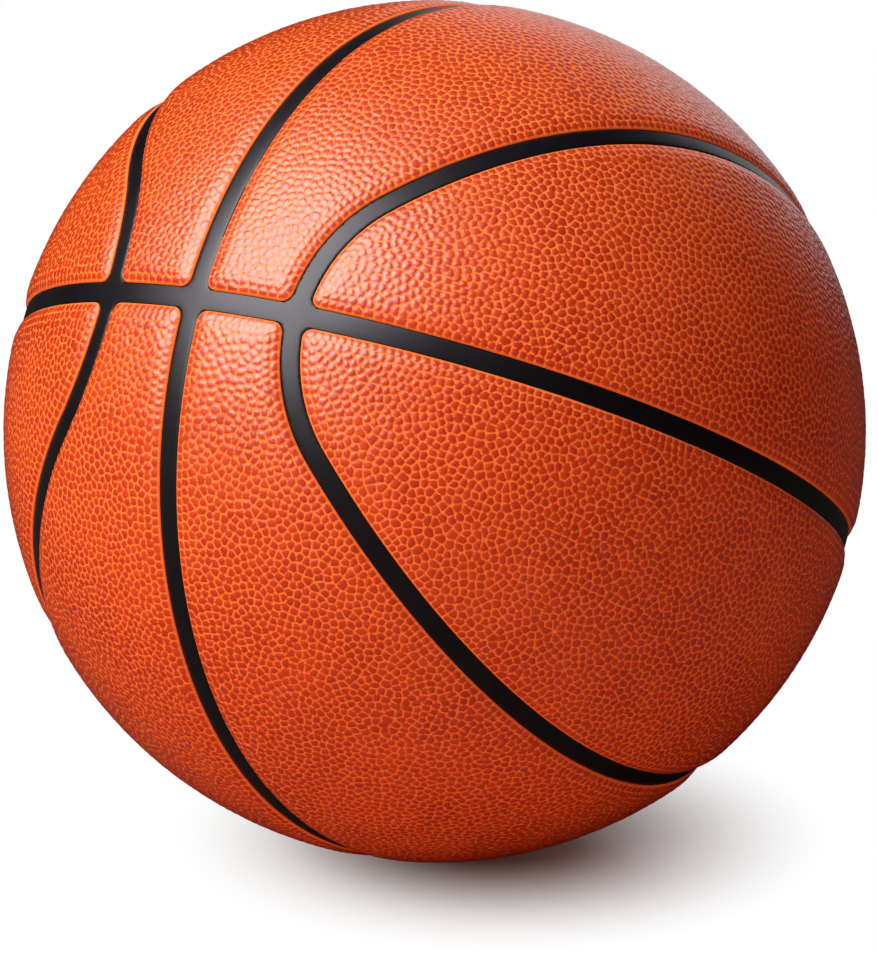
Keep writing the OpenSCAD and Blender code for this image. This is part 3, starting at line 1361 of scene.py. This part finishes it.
@dataclass(frozen=True)
class Lamp:
    """A soft square lamp that points at the ball.

    Its azimuth is counted from X towards Y, its size and distance are in metres, and without shine it shows
    in no reflection.
    """

    name: str
    azimuth_a: float
    height_a: float
    watts: float
    colour: Colour = WHITE
    size: float = 0.9
    distance: float = 1.4
    shine: bool = True

    def build(self) -> None:
        """Adds the lamp."""
        data = bpy.data.lights.new(self.name, "AREA")
        data.shape = "SQUARE"
        data.size = self.size
        data.energy = self.watts
        data.color = self.colour
        lamp = add_object(self.name, data)
        height, turn = math.radians(self.height_a), math.radians(self.azimuth_a)
        level = math.cos(height)
        toward = Vector((level * math.cos(turn), level * math.sin(turn), math.sin(height)))
        lamp.location = self.distance * toward
        lamp.rotation_euler = (-toward).to_track_quat("-Z", "Y").to_euler()
        lamp.visible_glossy = self.shine


@dataclass
class Studio:
    """Floor, lamps, surroundings and camera, with lengths in metres but for the lens and its sensor."""

    seams: Seams
    elevation_a: float = 19.0
    distance: float = 3.63
    lens: float = 484.6
    sensor: float = 36.0
    sight: float = 50.0
    aside: float = 0.00121
    below: float = 0.01367
    ambient: Colour = (0.28, 0.12, 0.12)
    floor_half: float = 8.0
    floor_seen: Colour = (0.74, 0.96, 0.98)
    floor_bounce: Colour = (0.60, 0.30, 0.16)
    floor_shine: Colour = (0.05, 0.05, 0.05)
    gloss_share: float = 0.06
    gloss_roughness: float = 0.22
    # Painted light: past these radii around shadow_x, white glow covers the ball's real shadow on the
    # floor.
    shadow_x: float = 0.018
    glow_start_r: float = 0.02
    glow_full_r: float = 0.098
    lamps: tuple[Lamp, ...] = (
        Lamp("key", 206, 50, 26.0, (1.0, 0.98, 0.90), size=1.2),
        Lamp("top", 90, 80, 3.0, size=1.2, shine=False),
        Lamp("front_fill", 238, 4, 9.5, (1.0, 0.50, 0.28), size=1.2, shine=False),
        Lamp("back_fill", 72, 10, 2.5),
    )

    def world(self) -> None:
        """Surroundings that look white, light the ball a little and show in no reflection."""
        world = bpy.data.worlds.new("studio")
        bpy.context.scene.world = world
        world.use_nodes = True
        nodes = Nodes(world.node_tree)
        sky = next(n for n in world.node_tree.nodes if n.type == "BACKGROUND")
        seen = nodes.get("ShaderNodeLightPath", "Is Camera Ray")
        nodes.give(sky.inputs["Color"], nodes.mix(seen, self.ambient, WHITE))
        world.cycles_visibility.glossy = False

    @property
    def floor_z(self) -> float:
        """The height at which the ball touches the floor."""
        return -self.seams.ball_r * MM

    def floor_finish(self) -> Material:
        """Makes the floor's material, which keeps the ball's shadow near it, paints white glow over the
        shadow farther out, and shows a faint reflection.

        Returns:
            The material.
        """
        material = bpy.data.materials.new("white_table")
        material.use_nodes = True
        tree = material.node_tree
        tree.nodes.remove(next(n for n in tree.nodes if n.type == "BSDF_PRINCIPLED"))
        nodes = Nodes(tree)

        def blend(share: Any, first: Sock, second: Sock) -> Sock:
            """Mixes two shaders."""
            return nodes.out(nodes.add("ShaderNodeMixShader", {0: share, 1: first, 2: second}))

        path = nodes.add("ShaderNodeLightPath")
        bounce = nodes.mix(nodes.out(path, "Is Glossy Ray"), self.floor_bounce, self.floor_shine)
        paint = nodes.out(nodes.add("ShaderNodeBsdfDiffuse", {"Color": (*self.floor_seen, 1)}))
        dull = nodes.out(nodes.add("ShaderNodeBsdfDiffuse", {"Color": bounce}))
        white = (*WHITE, 1)
        gloss = nodes.add("ShaderNodeBsdfGlossy", {"Color": white, "Roughness": self.gloss_roughness})
        painted_glow = nodes.add("ShaderNodeEmission", {"Color": white, "Strength": 1.0})
        where = nodes.get("ShaderNodeTexCoord", "Object")
        middle = {0: where, 1: (self.shadow_x, 0, self.floor_z)}
        away = nodes.out(nodes.add("ShaderNodeVectorMath", middle, operation="DISTANCE"), "Value")
        shown = blend(self.gloss_share, paint, nodes.out(gloss))
        # Painted light: between the two radii around the shadow's middle, the floor that the camera sees
        # turns into white glow, which paints out the ball's real shadow farther off.
        shadow_faded_to_glow = blend(away.ramp(self.glow_start_r, self.glow_full_r), shown, nodes.out(painted_glow))
        end = next(n for n in tree.nodes if n.type == "OUTPUT_MATERIAL")
        nodes.give(end.inputs["Surface"], blend(nodes.out(path, "Is Camera Ray"), dull, shadow_faded_to_glow))
        return material

    def floor(self) -> None:
        """A white table under the ball."""
        near, far = -self.floor_half, self.floor_half
        corners = ((near, near), (far, near), (far, far), (near, far))
        mesh = bpy.data.meshes.new("floor")
        mesh.from_pydata([(*corner, self.floor_z) for corner in corners], [], [(0, 1, 2, 3)])
        mesh.materials.append(self.floor_finish())
        add_object("floor", mesh)

    def camera(self) -> None:
        """A long lens that looks down on the ball."""
        data = bpy.data.cameras.new("camera")
        data.lens = self.lens
        data.sensor_width = self.sensor
        data.clip_end = self.sight
        camera = add_object("camera", data)
        dip = math.radians(self.elevation_a)
        forward = Vector((0, math.cos(dip), -math.sin(dip)))
        up = Vector((0, math.sin(dip), math.cos(dip)))
        camera.location = -self.distance * forward + Vector((self.aside, 0, 0)) - self.below * up
        camera.rotation_euler = (math.radians(90 - self.elevation_a), 0, 0)
        bpy.context.scene.camera = camera

    def build(self) -> None:
        """Sets the studio up."""
        self.world()
        self.floor()
        for lamp in self.lamps:
            lamp.build()
        self.camera()
        bpy.context.scene.view_settings.view_transform = "Standard"


RUBBERS = {
    "channel": MattRubber("channel_rubber", (0.003, 0.003, 0.005), (0.005, 0.005, 0.008), roughness=0.39,
                          specular=0.8, gloss=(0.88, 0.86, 1.0)),
    "valve": MattRubber("valve_rubber", (0.012, 0.012, 0.013), (0.022, 0.022, 0.024), roughness=0.5),
    "butyl": MattRubber("butyl_rubber", (0.016, 0.015, 0.015), (0.030, 0.028, 0.027), roughness=0.42,
                        specular=0.5, grain_per_mm=0.8),
    "carcass": MattRubber("carcass_rubber", (0.010, 0.010, 0.011), (0.020, 0.020, 0.022), roughness=0.7),
}


def main() -> None:
    """Builds the ball and the studio."""
    seams = Seams()
    Covers(seams).build(PebbledLeather().build())
    rubber = {name: finish.build() for name, finish in RUBBERS.items()}
    Strips(seams).build(rubber["channel"])
    Valve(seams).build(rubber["valve"])
    foams = [f"{panel.value}_foam_{side_name(*side)}" for panel in Panel for side in QUARTERS]
    dress(foams, CellFoam().build())
    dress(["thread_winding"], WoundThread().build())
    dress(["carcass"], rubber["carcass"])
    dress(["bladder", "valve_patch"], rubber["butyl"])
    dress(["valve_boot"], rubber["valve"])
    Studio(seams).build()
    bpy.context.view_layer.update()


if __name__ == "__main__":
    main()
